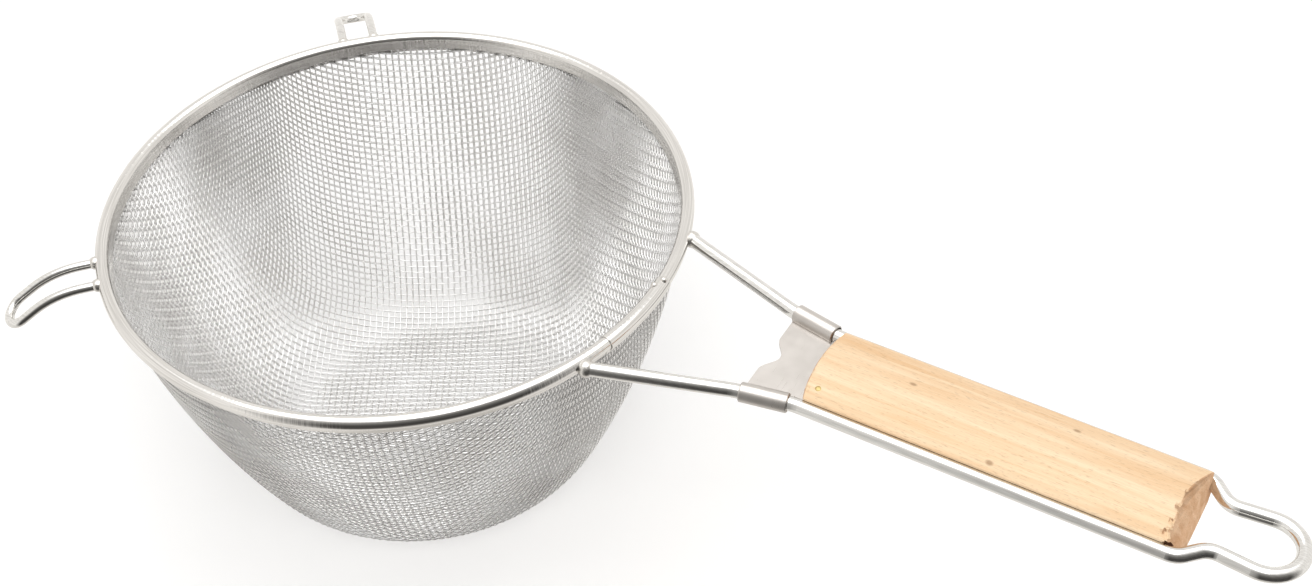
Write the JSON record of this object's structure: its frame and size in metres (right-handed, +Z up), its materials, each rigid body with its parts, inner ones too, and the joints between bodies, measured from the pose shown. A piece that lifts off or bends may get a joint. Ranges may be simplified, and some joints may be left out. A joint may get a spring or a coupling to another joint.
{
  "type": "double mesh strainer",
  "caption": "Deep round wire-mesh strainer with a doubled mesh bowl, rolled rim, two rest hooks and a bent wire handle with a wooden grip and hang loop.",
  "frame": {"origin": "centre of the bowl's flat bottom, where it stands on a table", "axes": "+Z up along the bowl's axis out of its mouth, +X from the bowl along the handle, +Y to the left seen from above with the handle pointing away"},
  "size_m": [0.4094, 0.2, 0.1103],
  "materials": {
    "mesh_steel": "bright drawn wire, woven",
    "rim_steel": "polished sheet",
    "wire_steel": "polished wire",
    "weld_steel": "electropolished weld",
    "bracket_steel": "satin sheet",
    "grip_wood": "sanded, lightly sealed beech",
    "brad_brass": "plain"
  },
  "bodies": {
    "root": {"outer_mesh_bowl": "mesh_steel", "inner_mesh_bowl": "mesh_steel", "rim_hoop_wire": "wire_steel", "rim_band": "rim_steel", "rim_spot_welds": "weld_steel", "handle_wire": "wire_steel", "leg_welds": "weld_steel", "cross_bracket": "bracket_steel", "wooden_grip": "grip_wood", "grip_brad": "brad_brass", "rest_hook_left": "wire_steel", "rest_hook_right": "wire_steel", "hook_welds": "weld_steel"}
  },
  "joints": []
}
